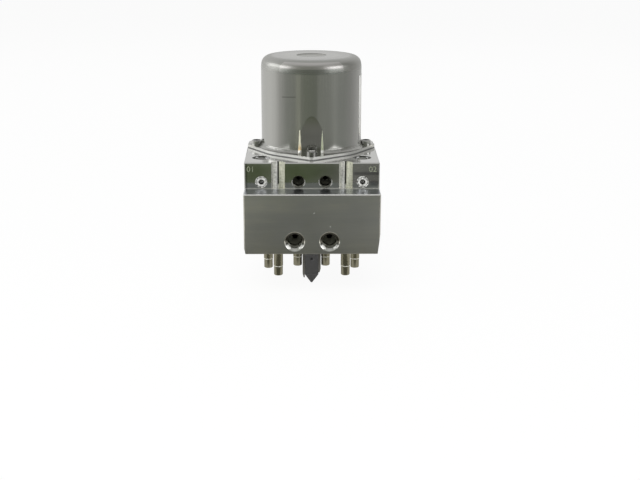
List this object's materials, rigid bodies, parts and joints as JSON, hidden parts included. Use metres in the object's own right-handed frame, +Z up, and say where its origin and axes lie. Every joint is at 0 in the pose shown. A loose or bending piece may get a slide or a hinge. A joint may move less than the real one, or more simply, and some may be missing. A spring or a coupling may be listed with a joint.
{
  "type": "abs brake module",
  "caption": "Hydraulic unit of an anti-lock brake: ported aluminium valve block with a steel pump motor on top, and solenoid valve tubes and a motor plug below.",
  "frame": {"origin": "where the motor's axis meets the block's bottom face, which the control unit is screwed to", "axes": "+Z up the motor's axis, -Y towards the face with the two main ports, +X to the right seen from that face"},
  "size_m": [0.1, 0.1283, 0.1723],
  "materials": {
    "block_aluminium": "milled, bright",
    "can_steel": "deep-drawn, satin nickel-bright",
    "gasket": "matt",
    "screw_steel": "zinc-plated, satin",
    "core_steel": "satin",
    "copper": "lacquered wire",
    "commutator_copper": "turned",
    "ground_steel": "ground",
    "bronze": "sintered",
    "moulding": "matt",
    "plug_moulding": "matt",
    "tinned_brass": "tin-plated, satin",
    "carbon": "matt",
    "ferrite": "matt",
    "sleeve_steel": "satin",
    "ball_steel": "polished",
    "spring_steel": "satin",
    "pressed_plug": "turned",
    "piston_aluminium": "anodised",
    "cap_steel": "zinc-plated",
    "tube_steel": "ground, bright",
    "plunger_steel": "turned"
  },
  "bodies": {
    "unit": {"valve_block": "block_aluminium", "motor_can": "can_steel", "motor_gasket": "gasket", "motor_screws": "screw_steel", "upper_bush": "bronze", "lower_bearing": "ground_steel", "brush_plate": "moulding", "motor_plug": "plug_moulding", "contact_left": "tinned_brass", "contact_right": "tinned_brass", "brush_left": "carbon", "brush_right": "carbon", "magnet_left": "ferrite", "magnet_right": "ferrite", "sealing_sleeves": "sleeve_steel", "sealing_balls": "ball_steel", "piston_spring_left": "spring_steel", "pump_sleeve_left": "sleeve_steel", "pump_plug_left": "pressed_plug", "accumulator_spring_left": "spring_steel", "accumulator_cap_left": "cap_steel", "piston_spring_right": "spring_steel", "pump_sleeve_right": "sleeve_steel", "pump_plug_right": "pressed_plug", "accumulator_spring_right": "spring_steel", "accumulator_cap_right": "cap_steel", "switch_valve_left": "tube_steel", "pilot_valve_left": "tube_steel", "inlet_valve_front_left": "tube_steel", "inlet_valve_rear_left": "tube_steel", "outlet_valve_front_left": "tube_steel", "outlet_valve_rear_left": "tube_steel", "switch_valve_right": "tube_steel", "pilot_valve_right": "tube_steel", "inlet_valve_front_right": "tube_steel", "inlet_valve_rear_right": "tube_steel", "outlet_valve_front_right": "tube_steel", "outlet_valve_rear_right": "tube_steel"},
    "rotor": {"rotor_shaft": "ground_steel", "armature_core": "core_steel", "armature_windings": "copper", "commutator": "commutator_copper", "eccentric_ring": "ground_steel"},
    "pump_piston_left": {"pump_piston_left": "ground_steel"},
    "accumulator_piston_left": {"accumulator_piston_left": "piston_aluminium"},
    "pump_piston_right": {"pump_piston_right": "ground_steel"},
    "accumulator_piston_right": {"accumulator_piston_right": "piston_aluminium"},
    "switch_valve_left_plunger": {"switch_valve_left_plunger": "plunger_steel"},
    "pilot_valve_left_plunger": {"pilot_valve_left_plunger": "plunger_steel"},
    "inlet_valve_front_left_plunger": {"inlet_valve_front_left_plunger": "plunger_steel"},
    "inlet_valve_rear_left_plunger": {"inlet_valve_rear_left_plunger": "plunger_steel"},
    "outlet_valve_front_left_plunger": {"outlet_valve_front_left_plunger": "plunger_steel"},
    "outlet_valve_rear_left_plunger": {"outlet_valve_rear_left_plunger": "plunger_steel"},
    "switch_valve_right_plunger": {"switch_valve_right_plunger": "plunger_steel"},
    "pilot_valve_right_plunger": {"pilot_valve_right_plunger": "plunger_steel"},
    "inlet_valve_front_right_plunger": {"inlet_valve_front_right_plunger": "plunger_steel"},
    "inlet_valve_rear_right_plunger": {"inlet_valve_rear_right_plunger": "plunger_steel"},
    "outlet_valve_front_right_plunger": {"outlet_valve_front_right_plunger": "plunger_steel"},
    "outlet_valve_rear_right_plunger": {"outlet_valve_rear_right_plunger": "plunger_steel"}
  },
  "joints": [
    {"name": "rotor_spin", "type": "hinge", "parent": "unit", "child": "rotor", "pos_m": [0, 0, 0], "axis": [0, 0, 1], "continuous": true},
    {"name": "pump_piston_left_slide", "type": "slide", "parent": "unit", "child": "pump_piston_left", "axis": [-1, 0, 0], "range_m": [0, 0.002], "stiffness_N_per_m": 500, "springref_m": -0.0005, "deforming": ["piston_spring_left"]},
    {"name": "accumulator_piston_left_slide", "type": "slide", "parent": "unit", "child": "accumulator_piston_left", "axis": [0, 1, 0], "range_m": [0, 0.008], "stiffness_N_per_m": 300, "springref_m": -0.0005, "deforming": ["accumulator_spring_left"]},
    {"name": "pump_piston_right_slide", "type": "slide", "parent": "unit", "child": "pump_piston_right", "axis": [1, 0, 0], "range_m": [0, 0.002], "stiffness_N_per_m": 500, "springref_m": -0.0005, "deforming": ["piston_spring_right"]},
    {"name": "accumulator_piston_right_slide", "type": "slide", "parent": "unit", "child": "accumulator_piston_right", "axis": [0, 1, 0], "range_m": [0, 0.008], "stiffness_N_per_m": 300, "springref_m": -0.0005, "deforming": ["accumulator_spring_right"]},
    {"name": "switch_valve_left_stroke", "type": "slide", "parent": "unit", "child": "switch_valve_left_plunger", "axis": [0, 0, 1], "range_m": [0, 0.0003], "stiffness_N_per_m": 200, "springref_m": -0.0005},
    {"name": "pilot_valve_left_stroke", "type": "slide", "parent": "unit", "child": "pilot_valve_left_plunger", "axis": [0, 0, 1], "range_m": [0, 0.0003], "stiffness_N_per_m": 200, "springref_m": -0.0005},
    {"name": "inlet_valve_front_left_stroke", "type": "slide", "parent": "unit", "child": "inlet_valve_front_left_plunger", "axis": [0, 0, 1], "range_m": [0, 0.0003], "stiffness_N_per_m": 200, "springref_m": -0.0005},
    {"name": "inlet_valve_rear_left_stroke", "type": "slide", "parent": "unit", "child": "inlet_valve_rear_left_plunger", "axis": [0, 0, 1], "range_m": [0, 0.0003], "stiffness_N_per_m": 200, "springref_m": -0.0005},
    {"name": "outlet_valve_front_left_stroke", "type": "slide", "parent": "unit", "child": "outlet_valve_front_left_plunger", "axis": [0, 0, 1], "range_m": [0, 0.0003], "stiffness_N_per_m": 200, "springref_m": -0.0005},
    {"name": "outlet_valve_rear_left_stroke", "type": "slide", "parent": "unit", "child": "outlet_valve_rear_left_plunger", "axis": [0, 0, 1], "range_m": [0, 0.0003], "stiffness_N_per_m": 200, "springref_m": -0.0005},
    {"name": "switch_valve_right_stroke", "type": "slide", "parent": "unit", "child": "switch_valve_right_plunger", "axis": [0, 0, 1], "range_m": [0, 0.0003], "stiffness_N_per_m": 200, "springref_m": -0.0005},
    {"name": "pilot_valve_right_stroke", "type": "slide", "parent": "unit", "child": "pilot_valve_right_plunger", "axis": [0, 0, 1], "range_m": [0, 0.0003], "stiffness_N_per_m": 200, "springref_m": -0.0005},
    {"name": "inlet_valve_front_right_stroke", "type": "slide", "parent": "unit", "child": "inlet_valve_front_right_plunger", "axis": [0, 0, 1], "range_m": [0, 0.0003], "stiffness_N_per_m": 200, "springref_m": -0.0005},
    {"name": "inlet_valve_rear_right_stroke", "type": "slide", "parent": "unit", "child": "inlet_valve_rear_right_plunger", "axis": [0, 0, 1], "range_m": [0, 0.0003], "stiffness_N_per_m": 200, "springref_m": -0.0005},
    {"name": "outlet_valve_front_right_stroke", "type": "slide", "parent": "unit", "child": "outlet_valve_front_right_plunger", "axis": [0, 0, 1], "range_m": [0, 0.0003], "stiffness_N_per_m": 200, "springref_m": -0.0005},
    {"name": "outlet_valve_rear_right_stroke", "type": "slide", "parent": "unit", "child": "outlet_valve_rear_right_plunger", "axis": [0, 0, 1], "range_m": [0, 0.0003], "stiffness_N_per_m": 200, "springref_m": -0.0005}
  ]
}
